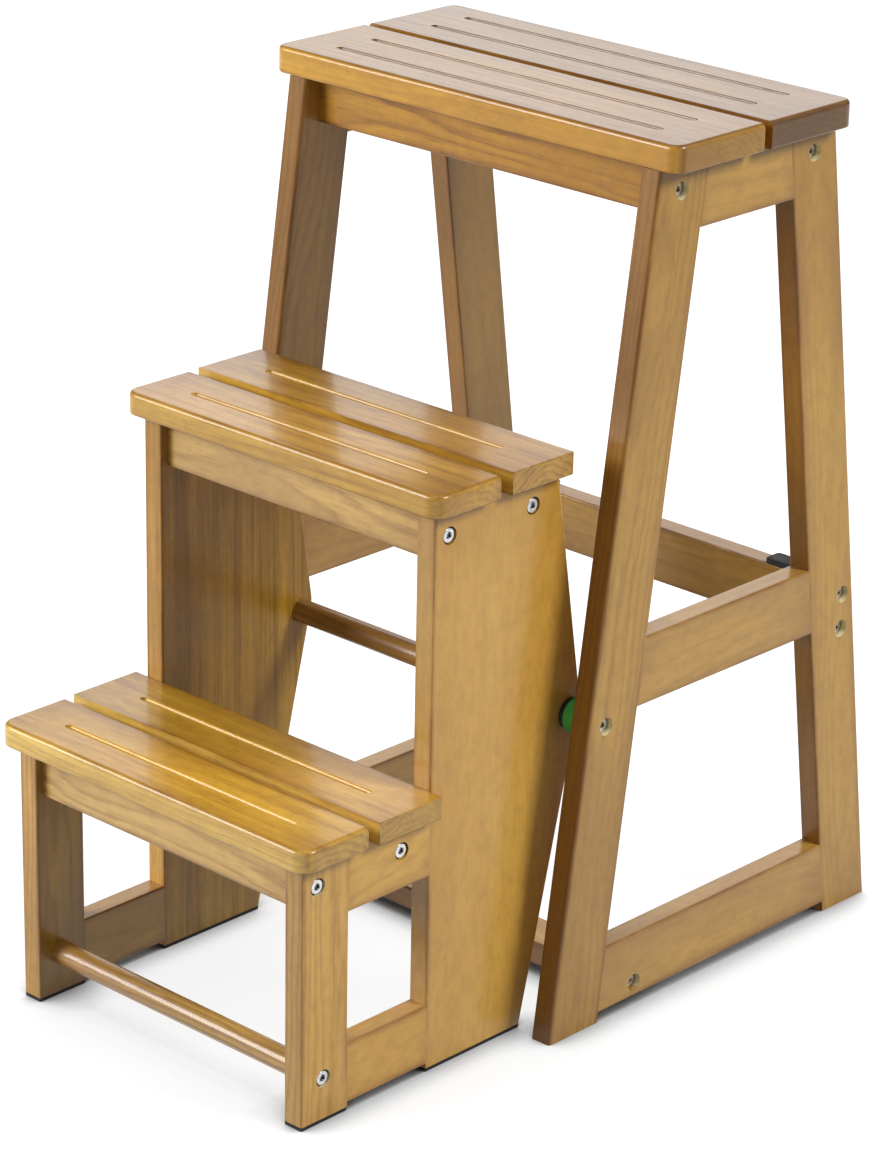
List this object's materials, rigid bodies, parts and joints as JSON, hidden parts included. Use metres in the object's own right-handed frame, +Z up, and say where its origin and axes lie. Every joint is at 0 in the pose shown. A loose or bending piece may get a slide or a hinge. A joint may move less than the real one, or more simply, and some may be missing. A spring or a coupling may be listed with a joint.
{
  "type": "step ladder",
  "caption": "Wooden folding step stool: a slatted seat on splayed side frames, with a unit of lower treads that swings over and nests inside.",
  "frame": {"origin": "on the floor, at the centre of the outline seen from above, with the steps unfolded", "axes": "+Z up, the treads face -Y, +X is the right side seen from the front"},
  "size_m": [0.388, 0.588, 0.65],
  "materials": {
    "frame_wood": "satin honey-stained lacquer",
    "board_wood": "glossy honey-stained lacquer",
    "rod_wood": "satin honey-stained lacquer",
    "dowel_wood": "raw",
    "bolt_steel": "bright zinc",
    "nut_zinc": "zinc plated",
    "black_rubber": "matt",
    "green_plastic": "satin"
  },
  "bodies": {
    "stool": {"bottom_rail_left": "frame_wood", "bottom_rail_right": "frame_wood", "frame_barrel_nuts": "nut_zinc", "frame_bolts": "bolt_steel", "frame_joint_dowels_left": "dowel_wood", "frame_joint_dowels_right": "dowel_wood", "front_leg_left": "frame_wood", "front_leg_right": "frame_wood", "lower_stretcher": "frame_wood", "middle_rail_left": "frame_wood", "middle_rail_right": "frame_wood", "rear_cross_rail": "frame_wood", "rear_leg_left": "frame_wood", "rear_leg_right": "frame_wood", "rest_bumper_left": "black_rubber", "rest_bumper_right": "black_rubber", "seat_apron_front": "frame_wood", "seat_apron_rear": "frame_wood", "seat_board_front": "board_wood", "seat_board_rear": "board_wood", "seat_dowels": "dowel_wood", "top_rail_left": "frame_wood", "top_rail_right": "frame_wood"},
    "steps": {"foot_rod": "rod_wood", "lower_apron_front": "frame_wood", "lower_apron_rear": "frame_wood", "lower_tread_dowels": "dowel_wood", "lower_tread_front": "board_wood", "lower_tread_rear": "board_wood", "pivot_bolt_left": "bolt_steel", "pivot_bolt_right": "bolt_steel", "pivot_pad_left": "black_rubber", "pivot_pad_right": "black_rubber", "pivot_rod": "rod_wood", "pivot_spacer_left": "green_plastic", "pivot_spacer_right": "green_plastic", "rod_inserts": "nut_zinc", "step_barrel_nuts": "nut_zinc", "step_bolts": "bolt_steel", "step_joint_dowels_left": "dowel_wood", "step_joint_dowels_right": "dowel_wood", "step_leg_left": "frame_wood", "step_leg_pad_left": "black_rubber", "step_leg_pad_right": "black_rubber", "step_leg_right": "frame_wood", "step_lower_rail_left": "frame_wood", "step_lower_rail_right": "frame_wood", "step_panel_left": "frame_wood", "step_panel_pad_left": "black_rubber", "step_panel_pad_right": "black_rubber", "step_panel_right": "frame_wood", "step_upper_rail_left": "frame_wood", "step_upper_rail_right": "frame_wood", "upper_apron_front": "frame_wood", "upper_apron_rear": "frame_wood", "upper_tread_dowels": "dowel_wood", "upper_tread_front": "board_wood", "upper_tread_rear": "board_wood"}
  },
  "joints": [
    {"name": "steps_fold", "type": "hinge", "parent": "stool", "child": "steps", "pos_m": [0, -0.0195, 0.234], "axis": [-1, 0, 0], "range_deg": [0, 174.8]}
  ]
}
